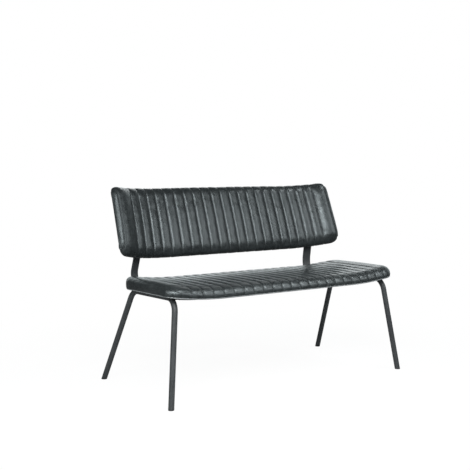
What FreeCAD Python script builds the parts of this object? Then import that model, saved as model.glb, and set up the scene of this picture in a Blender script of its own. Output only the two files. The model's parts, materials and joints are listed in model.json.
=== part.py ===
import FreeCAD, Part
import Sketcher
import math
import os

V = FreeCAD.Vector
Placement = FreeCAD.Placement
Rotation = FreeCAD.Rotation

# Upholstered dining bench: two bent-tube leg frames carry a flat base board and a channelled seat,
# and two flat-bar brackets carry a channelled backrest with forward wings.
# Millimetres and degrees. +Z is up, the front is -Y, and the origin is on the floor between the feet.

doc = FreeCAD.newDocument("dining_bench")

SIZES = [
    # leg frames
    ("tube_diameter", 25.0, "outside diameter of the leg tube"),
    ("tube_wall", 2.0, "wall of the leg tube"),
    ("bar_spread", 577.0, "centre plane to the middle of a top bar"),
    ("bar_forward", 71.1, "origin to the middle of the top bars, towards the front"),
    ("bar_height", 436.5, "floor to the middle of the top bars"),
    ("bar_length", 365.0, "top bar between its two sharp corners"),
    ("leg_bend", 62.0, "centreline radius where a bar turns into a leg"),
    ("leg_splay", 7.3, "lean of a leg frame away from the centre plane"),
    ("leg_toe", 0.7, "turn of a leg frame about the vertical, wider at the rear"),
    ("front_rake", 6.0, "front leg against the square to the top bar"),
    ("rear_rake", 25.4, "rear leg against the square to the top bar"),
    ("seat_tilt", 1.5, "top bars and seat, lower at the rear"),
    ("foot_base", 5.0, "glide below the end of the tube"),
    ("foot_plug", 24.0, "glide inside the tube"),
    ("plug_gap", 0.15, "glide to the bore of the tube"),
    # base board and what fastens it
    ("base_thickness", 8.0, "flat base board"),
    ("base_inset", 15.0, "base board behind the outline of the seat"),
    ("base_end_gap", 8.0, "end of the base board to a top bar"),
    ("base_front_corner", 88.0, "front corner radius of the base board"),
    ("base_rear_corner", 40.0, "rear corner radius of the base board"),
    ("plate_length", 70.0, "mounting plate, from the flank of the bar inwards"),
    ("plate_width", 50.0, "mounting plate along the bar"),
    ("plate_thickness", 4.0, "mounting plate"),
    ("plate_corner", 8.0, "corner radius of a mounting plate"),
    ("plate_gap", 0.1, "mounting plate to the bar and to the base board"),
    ("plate_spacing", 210.0, "front mounting plates to rear ones"),
    ("plate_bolt_spacing", 28.0, "two bolts of a mounting plate"),
    ("plate_bolt_edge", 20.0, "bolts to the inner end of a mounting plate"),
    ("bolt_diameter", 6.0, "bolts of plates and brackets"),
    ("bolt_head", 12.0, "diameter of a bolt's head"),
    ("bolt_crown", 7.6, "flat top of a bolt's head"),
    ("bolt_head_height", 3.6, "height of a bolt's head"),
    ("bolt_socket", 4.0, "hexagon socket across flats"),
    ("bolt_short", 1.0, "end of a bolt below the face of its tee nut's board"),
    ("bolt_clearance", 0.6, "hole in steel larger than its bolt"),
    ("nut_barrel", 8.0, "outside of a tee nut's barrel"),
    ("nut_clear", 0.6, "end of a tee nut's barrel to the far face of its board"),
    ("nut_flange", 18.0, "flange of a tee nut"),
    ("nut_flange_height", 1.5, "thickness of a tee nut's flange"),
    ("thread_gap", 0.1, "between a fastener and the hole it sits in, all round"),
    ("screw_diameter", 4.0, "wood screws from the base board up into the shell"),
    ("screw_head", 8.0, "countersunk head of a wood screw"),
    ("screw_bite", 6.0, "wood screw inside the shell"),
    ("screw_rows", 300.0, "front row of wood screws to the rear row"),
    ("screw_columns", 280.0, "wood screws along the bench"),
    # seat cushion
    ("seat_width", 1246.0, "over the ends of the seat"),
    ("seat_depth", 460.0, "front roll to rear roll"),
    ("seat_ahead", 224.0, "front roll ahead of the middle of the top bars"),
    ("seat_thickness", 53.0, "bottom of the skirt to the crown of a channel"),
    ("skirt_drop", 10.5, "skirt of the cover below the top of the base board"),
    ("seat_flat", 344.0, "centre plane to where the seat starts to rise"),
    ("seat_sweep", 1700.0, "radius of the rising ends"),
    ("seat_front_corner", 48.0, "plan radius of the front corners"),
    ("seat_rear_corner", 112.0, "plan radius of the rear corners"),
    ("seat_crown", 3.0, "swell of the seat from edge to middle"),
    ("seat_roll", 19.0, "upper edge radius"),
    ("seat_tuck", 12.5, "lower edge radius"),
    ("seat_border", 100.0, "plain end of the seat outside its channels"),
    ("liner_thickness", 1.0, "dust cover under the shell"),
    ("shell_thickness", 9.0, "moulded plywood of the seat"),
    # shared by both cushions
    ("channel_count", 21, "sewn channels across seat and backrest"),
    ("channel_depth", 5.0, "depth of a sewn seam"),
    ("cover_wall", 2.5, "cover under a seam"),
    ("foam_gap", 0.3, "foam to its cover"),
    ("layer_gap", 0.2, "between the bowed layers of a cushion"),
    # backrest
    ("back_length", 1312.0, "along the bowed rear face"),
    ("back_height", 330.0, "along the slope"),
    ("back_thickness", 49.0, "rear face to the crown of a channel"),
    ("back_setback", 49.9, "rear of the seat to the bottom of the rear face"),
    ("back_rise", 554.7, "floor to the bottom of the rear face"),
    ("back_recline", 20.0, "backrest against the vertical"),
    ("wing_start", 354.0, "centre plane to where a wing starts"),
    ("wing_radius", 477.0, "rear face of a wing"),
    ("back_taper", 13.5, "each end slants in by this much at the top"),
    ("back_corner", 51.0, "corner radius seen from the front"),
    ("back_crown", 3.0, "swell of the backrest from edge to middle"),
    ("back_roll", 22.0, "front edge radius"),
    ("back_tuck", 7.0, "rear edge radius"),
    ("back_border", 102.0, "plain end of the backrest outside its channels"),
    ("panel_thickness", 4.0, "rear panel of the backrest"),
    ("board_thickness", 12.0, "moulded plywood of the backrest"),
    # brackets
    ("bracket_width", 40.0, "flat bar"),
    ("bracket_thickness", 7.0, "flat bar"),
    ("bracket_spread", 497.0, "centre plane to a bracket on the backrest"),
    ("bracket_contact", 52.0, "bottom of the backrest to the bracket's upper bend"),
    ("bracket_upper", 120.0, "bracket up the rear panel from its upper bend"),
    ("bracket_run", 230.0, "bracket under the base board, up to its lower bend"),
    ("bracket_lean", 14.5, "upright of the bracket, forwards"),
    ("bracket_bend", 72.0, "lower bend, centreline"),
    ("bracket_crank", 60.0, "upper bend, centreline"),
    ("bracket_gap", 0.2, "bracket to the boards it lies on"),
    ("bracket_bolt_edge", 16.0, "end of a bracket to its first bolt"),
    ("bracket_bolt_spacing", 60.0, "two bolts at one end of a bracket"),
]

sheet = doc.addObject("Spreadsheet::Sheet", "Sizes")
for row, (alias, value, note) in enumerate(SIZES, 1):
    sheet.set("A%d" % row, alias)
    sheet.set("B%d" % row, str(value))
    sheet.set("C%d" % row, note)
    sheet.setAlias("B%d" % row, alias)
doc.recompute()

SIDES = (("left", -1), ("right", 1))
ENDS = (("front", -1), ("rear", 1))
parts = []


def size(alias):
    return float(sheet.get(alias))


def finish(obj, label, placement=None):
    """Give a sub-part its label and place, and put it on the list that is written out."""
    obj.Label = label
    if placement is not None:
        obj.Placement = placement
    parts.append(obj)
    return obj


# Helpers for sketches and for Part primitives

def new_body(name):
    return doc.addObject("PartDesign::Body", name)


def sketch_on(body, role, name):
    plane = [feature for feature in body.Origin.OriginFeatures if feature.Role == role][0]
    sketch = body.newObject("Sketcher::SketchObject", name)
    sketch.AttachmentSupport = [(plane, "")]
    sketch.MapMode = "FlatFace"
    return sketch


def constrain(sketch, kind, *values, to=None):
    """Add one constraint and, when it is a size, bind it to the sheet."""
    index = sketch.addConstraint(Sketcher.Constraint(kind, *values))
    if to is not None:
        sketch.setExpression("Constraints[%d]" % index, to)


def add_rectangle(sketch, low_x, low_y, high_x, high_y, width, depth):
    """Closed rectangle whose first corner is held in place and whose two sides are bound."""
    corners = [V(low_x, low_y, 0), V(high_x, low_y, 0), V(high_x, high_y, 0), V(low_x, high_y, 0)]
    lines = [sketch.addGeometry(Part.LineSegment(corners[k], corners[(k + 1) % 4])) for k in range(4)]
    for k in range(4):
        constrain(sketch, "Coincident", lines[k], 2, lines[(k + 1) % 4], 1)
    for k in range(4):
        constrain(sketch, "Vertical" if k % 2 else "Horizontal", lines[k])
    constrain(sketch, "DistanceX", -1, 1, lines[0], 1, low_x)
    constrain(sketch, "DistanceY", -1, 1, lines[0], 1, low_y)
    constrain(sketch, "DistanceX", lines[0], 1, lines[0], 2, high_x - low_x, to=width)
    constrain(sketch, "DistanceY", lines[1], 1, lines[1], 2, high_y - low_y, to=depth)


def add_circles(sketch, centres, diameter, to):
    for x, y in centres:
        circle = sketch.addGeometry(Part.Circle(V(x, y, 0), V(0, 0, 1), diameter / 2))
        constrain(sketch, "DistanceX", -1, 1, circle, 3, x)
        constrain(sketch, "DistanceY", -1, 1, circle, 3, y)
        constrain(sketch, "Diameter", circle, diameter, to=to)


def add_bend(sketch, start, middle, end):
    """Arc through three points, run anticlockwise, and the number of its end that is at the start."""
    turns_left = (middle - start).cross(end - middle).z > 0
    points = (start, middle, end) if turns_left else (end, middle, start)
    return sketch.addGeometry(Part.Arc(*points)), 1 if turns_left else 2


def drill(body, name, role, offset, centres, diameter, to):
    """Round holes right through a body, square to a plane set by an offset from an origin plane."""
    before = body.Shape.Volume
    sketch = sketch_on(body, role, name + "_sketch")
    sketch.AttachmentOffset = offset
    add_circles(sketch, centres, diameter, to)
    pocket = body.newObject("PartDesign::Pocket", name)
    pocket.Profile = sketch
    pocket.Type = "ThroughAll"
    pocket.SideType = "Symmetric"
    doc.recompute()
    if not body.Shape.Volume < before:
        raise RuntimeError(name + " cut nothing")


def upright_edges(shape, wanted):
    """Names of the upright edges of a plate whose middle point passes a test."""
    names = []
    for index, edge in enumerate(shape.Edges, 1):
        ends = [vertex.Point for vertex in edge.Vertexes]
        if len(ends) == 2 and (ends[0] - ends[1]).cross(V(0, 0, 1)).Length < 1e-6 and wanted(ends[0]):
            names.append("Edge%d" % index)
    return names


def round_corners(body, name, base, wanted, radius):
    fillet = body.newObject("PartDesign::Fillet", name)
    fillet.Base = (base, upright_edges(base.Shape, wanted))
    fillet.setExpression("Radius", radius)
    doc.recompute()
    return fillet


def primitive(kind, name, sizes, placement=None):
    """A Part primitive whose sizes are bound to the sheet."""
    obj = doc.addObject(kind, name)
    for prop, text in sizes.items():
        obj.setExpression(prop, text)
    if placement is not None:
        obj.Placement = placement
    return obj


def boolean(kind, name, base, tool):
    obj = doc.addObject(kind, name)
    obj.Base = base
    obj.Tool = tool
    return obj


def along(point, direction):
    """Placement that puts a primitive's own +Z along a direction, at a point."""
    return Placement(point, Rotation(V(0, 0, 1), direction))


# Shared places

TUBE_R = size("tube_diameter") / 2
BASE_BOTTOM = -TUBE_R + size("plate_thickness") + size("plate_gap")
BASE_TOP = BASE_BOTTOM + size("base_thickness")
SEAT_FRONT = -size("seat_ahead")
SEAT_REAR = SEAT_FRONT + size("seat_depth")


def seat_frame():
    """Seat pieces are modelled square: y = 0 and z = 0 are the middle of the top bars."""
    tilt = Rotation(V(-1, 0, 0), size("seat_tilt"))
    return Placement(V(0, -size("bar_forward"), size("bar_height")), tilt)


def leg_place(side):
    toe = Rotation(V(0, 0, -side), size("leg_toe"))
    tilt = Rotation(V(-1, 0, 0), size("seat_tilt"))
    return Placement(V(side * size("bar_spread"), -size("bar_forward"), size("bar_height")), toe * tilt)


def leg_line(side, way, rake_alias):
    """Sharp corner of a leg frame and the unit direction down its leg, in the shared frame."""
    splay = math.radians(size("leg_splay"))
    rake = math.radians(size(rake_alias))
    upright = math.cos(rake)
    down = V(side * math.sin(splay) * upright, way * math.sin(rake), -math.cos(splay) * upright)
    place = leg_place(side)
    return place.multVec(V(0, way * size("bar_length") / 2, 0)), place.Rotation.multVec(down)


def foot_point(side, way, rake_alias):
    corner, down = leg_line(side, way, rake_alias)
    return corner + down * (corner.z / -down.z), down


# Leg frames: a ring carried from the middle of the top bar down each leg, cut level at the feet

def leg_path(body, name, side, way, rake_alias):
    half = size("bar_length") / 2
    bend = size("leg_bend")
    rake = math.radians(size(rake_alias))
    tangent = bend * math.tan((math.pi / 2 - rake) / 2)
    corner, down_line = leg_line(side, way, rake_alias)
    past_floor = 2 * size("tube_diameter")
    reach = corner.z / -down_line.z + past_floor
    down = V(way * math.sin(rake), -math.cos(rake), 0)
    sharp = V(way * half, 0, 0)
    start = V(way * (half - tangent), 0, 0)
    leg_top = sharp + down * tangent
    centre = V(start.x, -bend, 0)
    middle = centre + (start + leg_top - centre * 2).normalize() * bend

    sketch = sketch_on(body, "YZ_Plane", name)
    sketch.AttachmentOffset = Placement(V(0, 0, 0), Rotation(V(-side, 0, 0), size("leg_splay")))
    sketch.setExpression("AttachmentOffset.Rotation.Angle", "Sizes.leg_splay")
    bar = sketch.addGeometry(Part.LineSegment(V(0, 0, 0), start))
    arc, first = add_bend(sketch, start, middle, leg_top)
    leg = sketch.addGeometry(Part.LineSegment(leg_top, sharp + down * reach))
    point = sketch.addGeometry(Part.Point(sharp), True)
    constrain(sketch, "Coincident", bar, 1, -1, 1)
    constrain(sketch, "Horizontal", bar)
    constrain(sketch, "Tangent", bar, 2, arc, first)
    constrain(sketch, "Tangent", arc, 3 - first, leg, 1)
    constrain(sketch, "Radius", arc, bend, to="Sizes.leg_bend")
    constrain(sketch, "PointOnObject", point, 1, bar)
    constrain(sketch, "PointOnObject", point, 1, leg)
    if way > 0:
        constrain(sketch, "DistanceX", -1, 1, point, 1, half, to="Sizes.bar_length / 2")
    else:
        constrain(sketch, "DistanceX", point, 1, -1, 1, half, to="Sizes.bar_length / 2")
    constrain(sketch, "Distance", point, 1, leg, 2, reach)
    angle = "(%d * Sizes.%s - 90) * 1 deg" % (way, rake_alias)
    constrain(sketch, "Angle", leg, math.atan2(down.y, down.x), to=angle)
    return sketch


def leg_frame(label, side):
    body = new_body(label)
    ring = sketch_on(body, "XZ_Plane", label + "_ring")
    add_circles(ring, [(0, 0)], size("tube_diameter"), "Sizes.tube_diameter")
    bore = "Sizes.tube_diameter - 2 * Sizes.tube_wall"
    add_circles(ring, [(0, 0)], size("tube_diameter") - 2 * size("tube_wall"), bore)
    paths = [leg_path(body, "%s_%s_path" % (label, end), side, way, end + "_rake") for end, way in ENDS]
    doc.recompute()
    for path in paths:
        pipe = body.newObject("PartDesign::AdditivePipe", path.Name + "_tube")
        pipe.Profile = ring
        pipe.Spine = (path, ["Edge1", "Edge2", "Edge3"])
        doc.recompute()

    uncut = body.Shape.Volume
    reach = size("bar_length") + size("bar_height")
    floor = sketch_on(body, "XY_Plane", label + "_floor")
    floor.AttachmentOffset = Placement(V(0, 0, -size("bar_height")), Rotation(V(1, 0, 0), size("seat_tilt")))
    drop = "-(Sizes.bar_height - Sizes.foot_base) / cos(Sizes.seat_tilt * 1 deg)"
    floor.setExpression("AttachmentOffset.Base.z", drop)
    floor.setExpression("AttachmentOffset.Rotation.Angle", "Sizes.seat_tilt")
    both = "2 * (Sizes.bar_length + Sizes.bar_height)"
    add_rectangle(floor, -reach, -reach, reach, reach, both, both)
    cut = body.newObject("PartDesign::Pocket", label + "_foot_cut")
    cut.Profile = floor
    cut.Type = "ThroughAll"
    doc.recompute()
    if not body.Shape.Volume < uncut:
        raise RuntimeError(label + " was not cut at the floor")
    finish(body, label, leg_place(side))


def foot_glide(label, side, way, rake_alias):
    """Plastic glide: a slice of the leg's own cylinder under the tube, and a plug up its bore."""
    point, down = foot_point(side, way, rake_alias)
    up = down * -1
    reach = 2 * size("tube_diameter")
    stub = primitive("Part::Cylinder", label + "_stub",
                     {"Radius": "Sizes.tube_diameter / 2", "Height": "4 * Sizes.tube_diameter"},
                     along(point - up * reach, up))
    slab = primitive("Part::Box", label + "_slab",
                     {"Length": "4 * Sizes.tube_diameter", "Width": "4 * Sizes.tube_diameter",
                      "Height": "Sizes.foot_base"},
                     Placement(V(point.x - reach, point.y - reach, 0), Rotation()))
    sole = boolean("Part::Common", label + "_sole", stub, slab)
    plug_start = point + up * (size("foot_base") / up.z)
    plug = primitive("Part::Cylinder", label + "_plug",
                     {"Radius": "Sizes.tube_diameter / 2 - Sizes.tube_wall - Sizes.plug_gap",
                      "Height": "Sizes.foot_plug"},
                     along(plug_start, up))
    finish(boolean("Part::Fuse", label, sole, plug), label)


for name, side in SIDES:
    leg_frame("leg_frame_" + name, side)
for end, way in ENDS:
    for name, side in SIDES:
        foot_glide("foot_%s_%s" % (end, name), side, way, end + "_rake")

# Backrest surface: flat in the middle, each wing an arc towards the front

def back_frame():
    """Backrest pieces are modelled upright: z runs up the slope and -y is the way the front faces."""
    lean = Rotation(V(-1, 0, 0), size("back_recline"))
    behind = SEAT_REAR - size("bar_forward") + size("back_setback")
    return Placement(V(0, behind, size("back_rise")), lean)


def wing_angle(run):
    return max(0.0, abs(run) - size("wing_start")) / size("wing_radius")


def back_point(run, out, up):
    """Backrest point at a run along the rear face, out towards the front and up the slope."""
    turn = wing_angle(run)
    hand = math.copysign(1.0, run)
    flat = min(abs(run), size("wing_start"))
    radius = size("wing_radius")
    rear = V(hand * (flat + radius * math.sin(turn)), -radius * (1 - math.cos(turn)), 0)
    along_wing = V(math.cos(turn), -hand * math.sin(turn), 0)
    front = V(-hand * math.sin(turn), -math.cos(turn), 0)
    slant = math.atan(size("back_taper") / size("back_height")) * run / (size("back_length") / 2)
    climb = V(0, 0, 1) * math.cos(slant) - along_wing * math.sin(slant)
    return rear + front * out + climb * up


# Brackets: flat bar in an upright plane square to the wing, from under the base board to the rear panel

def bracket_lines(side):
    """Corners of a bracket's centreline in its own plane, and the placement of that plane."""
    flat = min(size("bracket_spread"), size("wing_start"))
    turn = math.asin((size("bracket_spread") - flat) / size("wing_radius"))
    run = side * (flat + size("wing_radius") * turn)
    frame = back_frame()
    face = frame.Rotation.multVec(V(-side * math.sin(turn), -math.cos(turn), 0))
    yaw = math.atan2(-side * face.x, -face.y)
    recline = math.asin(face.z)
    rearwards = V(side * math.sin(yaw), math.cos(yaw), 0)
    off_face = size("bracket_thickness") / 2 + size("bracket_gap")
    contact = frame.multVec(back_point(run, 0, size("bracket_contact")))
    crank = contact - face * off_face
    lean = math.radians(size("bracket_lean"))
    fall = math.atan(math.tan(math.radians(size("seat_tilt"))) * math.cos(yaw))

    # height of the bracket's lower centreline under the base board, at a point behind the crank
    seat = seat_frame()
    under = seat.multVec(V(0, 0, BASE_BOTTOM))
    square = seat.Rotation.multVec(V(0, 0, 1))

    def below_base(point):
        clear = size("bracket_thickness") / 2 + size("bracket_gap")
        return under.z - (square.x * (point.x - under.x) + square.y * (point.y - under.y)) / square.z - clear

    drop = crank.z - below_base(crank)
    length = drop / (math.cos(lean) - math.sin(lean) * math.tan(fall))
    elbow = crank + rearwards * (length * math.sin(lean)) - V(0, 0, length * math.cos(lean))
    first = elbow - (rearwards * math.cos(fall) - V(0, 0, math.sin(fall))) * size("bracket_run")
    turn_in = Rotation(V(0, 0, 1), math.degrees(-side * yaw)) * Rotation(V(-1, 0, 0), math.degrees(fall))
    return {"place": Placement(first, turn_in), "upright": length,
            "rise": math.pi / 2 + lean + fall, "lie": math.pi / 2 - recline + fall}


def bracket_path(body, name, lines):
    """Lower run, bend, upright, crank and upper run, on the sharp corners between them."""
    elbow = V(size("bracket_run"), 0, 0)
    rise = V(math.cos(lines["rise"]), math.sin(lines["rise"]), 0)
    lie = V(math.cos(lines["lie"]), math.sin(lines["lie"]), 0)
    crank = elbow + rise * lines["upright"]
    top = crank + lie * size("bracket_upper")
    flat = V(1, 0, 0)
    sketch = sketch_on(body, "YZ_Plane", name)

    def bend(corner, before, after, radius):
        """Arc tangent to the two lines that meet at a corner."""
        reach = radius * math.tan(before.getAngle(after) / 2)
        start = corner - before * reach
        end = corner + after * reach
        centre = corner + (after - before).normalize() * math.hypot(radius, reach)
        return start, centre + (corner - centre).normalize() * radius, end

    lower_bend = bend(elbow, flat, rise, size("bracket_bend"))
    upper_bend = bend(crank, rise, lie, size("bracket_crank"))
    base = sketch.addGeometry(Part.LineSegment(V(0, 0, 0), lower_bend[0]))
    low, low_first = add_bend(sketch, *lower_bend)
    upright = sketch.addGeometry(Part.LineSegment(lower_bend[2], upper_bend[0]))
    high, high_first = add_bend(sketch, *upper_bend)
    upper = sketch.addGeometry(Part.LineSegment(upper_bend[2], top))
    corners = [sketch.addGeometry(Part.Point(corner), True) for corner in (elbow, crank)]
    constrain(sketch, "Coincident", base, 1, -1, 1)
    constrain(sketch, "Horizontal", base)
    for line, arc, after, first in ((base, low, upright, low_first), (upright, high, upper, high_first)):
        constrain(sketch, "Tangent", line, 2, arc, first)
        constrain(sketch, "Tangent", arc, 3 - first, after, 1)
    constrain(sketch, "Radius", low, size("bracket_bend"), to="Sizes.bracket_bend")
    constrain(sketch, "Radius", high, size("bracket_crank"), to="Sizes.bracket_crank")
    for corner, line, after in ((corners[0], base, upright), (corners[1], upright, upper)):
        constrain(sketch, "PointOnObject", corner, 1, line)
        constrain(sketch, "PointOnObject", corner, 1, after)
    constrain(sketch, "DistanceX", -1, 1, corners[0], 1, size("bracket_run"), to="Sizes.bracket_run")
    constrain(sketch, "Distance", corners[0], 1, corners[1], 1, lines["upright"])
    constrain(sketch, "Angle", upright, lines["rise"])
    constrain(sketch, "Angle", upper, lines["lie"])
    constrain(sketch, "Distance", corners[1], 1, upper, 2, size("bracket_upper"), to="Sizes.bracket_upper")
    return sketch, crank, lie


def bracket_holes():
    """Bolts along the lower run from its front end, and along the upper run from its top end."""
    edge = size("bracket_bolt_edge")
    return [edge, edge + size("bracket_bolt_spacing")]


def back_bracket(label, side):
    lines = bracket_lines(side)
    body = new_body(label)
    bar = sketch_on(body, "XZ_Plane", label + "_bar")
    half_width = size("bracket_width") / 2
    half_thickness = size("bracket_thickness") / 2
    add_rectangle(bar, -half_width, -half_thickness, half_width, half_thickness,
                  "Sizes.bracket_width", "Sizes.bracket_thickness")
    path, crank, lie = bracket_path(body, label + "_path", lines)
    doc.recompute()
    pipe = body.newObject("PartDesign::AdditivePipe", label + "_bent_bar")
    pipe.Profile = bar
    pipe.Spine = (path, ["Edge%d" % k for k in range(1, 6)])
    doc.recompute()
    hole = size("bolt_diameter") + size("bolt_clearance")
    bound = "Sizes.bolt_diameter + Sizes.bolt_clearance"
    drill(body, label + "_lower_holes", "XY_Plane", Placement(),
          [(0, y) for y in bracket_holes()], hole, bound)
    up = V(0, lie.x, lie.y)
    top = V(0, crank.x, crank.y) + up * size("bracket_upper")
    turn = math.degrees(math.atan2(lie.y, lie.x))
    slope = Placement(top, Rotation(V(1, 0, 0), turn))
    drill(body, label + "_upper_holes", "XY_Plane", slope,
          [(0, -y) for y in bracket_holes()], hole, bound)
    finish(body, label, lines["place"])
    place = lines["place"]
    seat_up = seat_frame().Rotation.multVec(V(0, 0, 1))
    lower = [(place.multVec(V(0, y, 0)) - seat_up * half_thickness, seat_up) for y in bracket_holes()]
    outwards = V(0, lie.y, -lie.x)
    upper = [(place.multVec(top - up * y + outwards * half_thickness), place.Rotation.multVec(outwards * -1))
             for y in bracket_holes()]
    return lower, upper


bracket_lower_bolts = []
bracket_upper_bolts = []
for name, side in SIDES:
    lower, upper = back_bracket("back_bracket_" + name, side)
    bracket_lower_bolts += lower
    bracket_upper_bolts += upper

# Mounting plates: flat steel on the flank of each top bar, level with its underside, below the base board

def plate_places():
    above = TUBE_R - size("plate_thickness")
    flank = math.sqrt(TUBE_R ** 2 - above ** 2)
    inwards = flank + size("plate_gap") + size("plate_length") / 2
    for end, way in ENDS:
        for name, side in SIDES:
            spot = V(-side * inwards, way * size("plate_spacing") / 2, -TUBE_R)
            yield "mount_plate_%s_%s" % (end, name), side, spot


def plate_bolts(side):
    """Bolt centres in a plate's own frame, near its inner end."""
    x = -side * (size("plate_length") / 2 - size("plate_bolt_edge"))
    half = size("plate_bolt_spacing") / 2
    return [(x, -half), (x, half)]


plate_bolt_spots = []
for label, side, spot in plate_places():
    plate = new_body(label)
    outline = sketch_on(plate, "XY_Plane", label + "_outline")
    half_length = size("plate_length") / 2
    half_width = size("plate_width") / 2
    add_rectangle(outline, -half_length, -half_width, half_length, half_width,
                  "Sizes.plate_length", "Sizes.plate_width")
    pad = plate.newObject("PartDesign::Pad", label + "_pad")
    pad.Profile = outline
    pad.setExpression("Length", "Sizes.plate_thickness")
    doc.recompute()
    round_corners(plate, label + "_corners", pad, lambda point: True, "Sizes.plate_corner")
    drill(plate, label + "_holes", "XY_Plane", Placement(), plate_bolts(side),
          size("bolt_diameter") + size("bolt_clearance"), "Sizes.bolt_diameter + Sizes.bolt_clearance")
    place = leg_place(side).multiply(Placement(spot, Rotation()))
    finish(plate, label, place)
    plate_bolt_spots += [(place.multVec(V(x, y, 0)), place.Rotation.multVec(V(0, 0, 1)))
                         for x, y in plate_bolts(side)]

# Base board: flat plywood between the top bars, with tee nuts let into its upper face

def in_seat(point):
    return seat_frame().inverse().multVec(point)


def screw_spots():
    row = size("screw_rows") / 2
    middle = (SEAT_FRONT + SEAT_REAR) / 2
    step = size("screw_columns")
    return [(x, middle + y) for x in (-step, 0, step) for y in (-row, row)]


base_nuts = [in_seat(point) for point, direction in plate_bolt_spots + bracket_lower_bolts]
base = new_body("base_board")
outline = sketch_on(base, "XY_Plane", "base_outline")
base_half = size("bar_spread") - TUBE_R - size("base_end_gap")
base_front = SEAT_FRONT + size("base_inset")
base_rear = SEAT_REAR - size("base_inset")
add_rectangle(outline, -base_half, base_front, base_half, base_rear,
              "2 * (Sizes.bar_spread - Sizes.tube_diameter / 2 - Sizes.base_end_gap)",
              "Sizes.seat_depth - 2 * Sizes.base_inset")
pad = base.newObject("PartDesign::Pad", "base_pad")
pad.Profile = outline
pad.setExpression("Length", "Sizes.base_thickness")
doc.recompute()
base_middle = (base_front + base_rear) / 2
front_corners = round_corners(base, "base_front_corners", pad, lambda point: point.y < base_middle,
                              "Sizes.base_front_corner")
round_corners(base, "base_rear_corners", front_corners, lambda point: point.y > base_middle,
              "Sizes.base_rear_corner")
nut_hole = size("nut_barrel") + 2 * size("thread_gap")
drill(base, "base_nut_holes", "XY_Plane", Placement(), [(spot.x, spot.y) for spot in base_nuts],
      nut_hole, "Sizes.nut_barrel + 2 * Sizes.thread_gap")
screw_hole = size("screw_diameter") + 2 * size("thread_gap")
drill(base, "base_screw_holes", "XY_Plane", Placement(), screw_spots(), screw_hole,
      "Sizes.screw_diameter + 2 * Sizes.thread_gap")
flange_seat = sketch_on(base, "XY_Plane", "base_flange_seats_sketch")
flange_seat.AttachmentOffset = Placement(V(0, 0, size("base_thickness")), Rotation())
flange_seat.setExpression("AttachmentOffset.Base.z", "Sizes.base_thickness")
add_circles(flange_seat, [(spot.x, spot.y) for spot in base_nuts],
            size("nut_flange") + 2 * size("thread_gap"), "Sizes.nut_flange + 2 * Sizes.thread_gap")
seats = base.newObject("PartDesign::Pocket", "base_flange_seats")
seats.Profile = flange_seat
seats.setExpression("Length", "Sizes.nut_flange_height + Sizes.thread_gap")
doc.recompute()
countersink = sketch_on(base, "XY_Plane", "base_countersinks_sketch")
add_circles(countersink, screw_spots(), size("screw_head") + 2 * size("thread_gap"),
            "Sizes.screw_head + 2 * Sizes.thread_gap")
sinks = base.newObject("PartDesign::Pocket", "base_countersinks")
sinks.Profile = countersink
sinks.Reversed = True
sinks.setExpression("Length", "Sizes.screw_head / 4 + Sizes.thread_gap")
doc.recompute()
finish(base, "base_board", seat_frame().multiply(Placement(V(0, 0, BASE_BOTTOM), Rotation())))

# Cushions: sections of lines and arcs, carried along the bench and joined by ruled lofts

def quarter_round(run, half, radius):
    """How far a rounded corner of this radius has drawn in at a run along the bench."""
    into = max(0.0, abs(run) - (half - radius))
    return radius - math.sqrt(max(0.0, radius * radius - into * into))


class SeatForm:
    """Runs along X, goes across from the front to the rear, and its ends rise."""

    def __init__(self):
        self.half = size("seat_width") / 2
        self.border = size("seat_border")
        self.bow_start = size("seat_flat")
        self.bottom = BASE_TOP - size("skirt_drop")
        self.top = self.bottom + size("seat_thickness")
        self.crown = size("seat_crown")
        self.roll = min(size("seat_roll"), ROLL_LIMIT * size("seat_thickness"))
        self.tuck = min(size("seat_tuck"), TUCK_LIMIT * size("seat_thickness"))

    def across(self, run, inset):
        half = self.half - inset
        low = SEAT_FRONT + inset + quarter_round(run, half, size("seat_front_corner") - inset)
        high = SEAT_REAR - inset - quarter_round(run, half, size("seat_rear_corner") - inset)
        return low, high

    def spot(self, run, across, out):
        into = max(0.0, abs(run) - self.bow_start)
        sweep = size("seat_sweep")
        return V(run, across, out + sweep - math.sqrt(sweep * sweep - into * into))


class BackForm:
    """Runs along the bowed rear face, goes across up the slope, and out towards the front."""

    def __init__(self):
        self.half = size("back_length") / 2
        self.border = size("back_border")
        self.bow_start = size("wing_start")
        self.bottom = 0.0
        self.top = size("back_thickness")
        self.crown = size("back_crown")
        self.roll = min(size("back_roll"), ROLL_LIMIT * size("back_thickness"))
        self.tuck = min(size("back_tuck"), TUCK_LIMIT * size("back_thickness"))

    def across(self, run, inset):
        cut = quarter_round(run, self.half - inset, size("back_corner") - inset)
        return inset + cut, size("back_height") - inset - cut

    def spot(self, run, across, out):
        return back_point(run, out, across)


def channel_stations(form):
    """Runs along a channelled cushion with the depth drawn in there: each seam full, each crown none."""
    count = int(size("channel_count"))
    depth = size("channel_depth")
    seam = form.half - form.border
    pitch = 2 * seam / count
    stations = [(seam, depth)]
    for k in range(count):
        for share in (0.0, 0.25, 0.5, 0.75):
            stations.append((-seam + (k + share) * pitch, depth * (2 * share - 1) ** 2))
    for step in END_STEPS:
        inset = depth * max(0.0, 1 - step / BORDER_SWELL) ** 2
        stations.append((seam + step * form.border, inset))
        stations.append((-seam - step * form.border, inset))
    return sorted(stations)


def smooth_stations(form, inset):
    """Runs along an inner layer: the flat middle, steps round the bow and the rounded ends."""
    end = form.half - inset
    inner = end - form.border
    bow = inner - form.bow_start
    runs = [form.bow_start + bow * k / BOW_STEPS for k in range(BOW_STEPS)]
    runs += [inner + step * form.border for step in END_STEPS]
    return [(run, 0.0) for run in sorted([-run for run in runs] + runs)]


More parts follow.
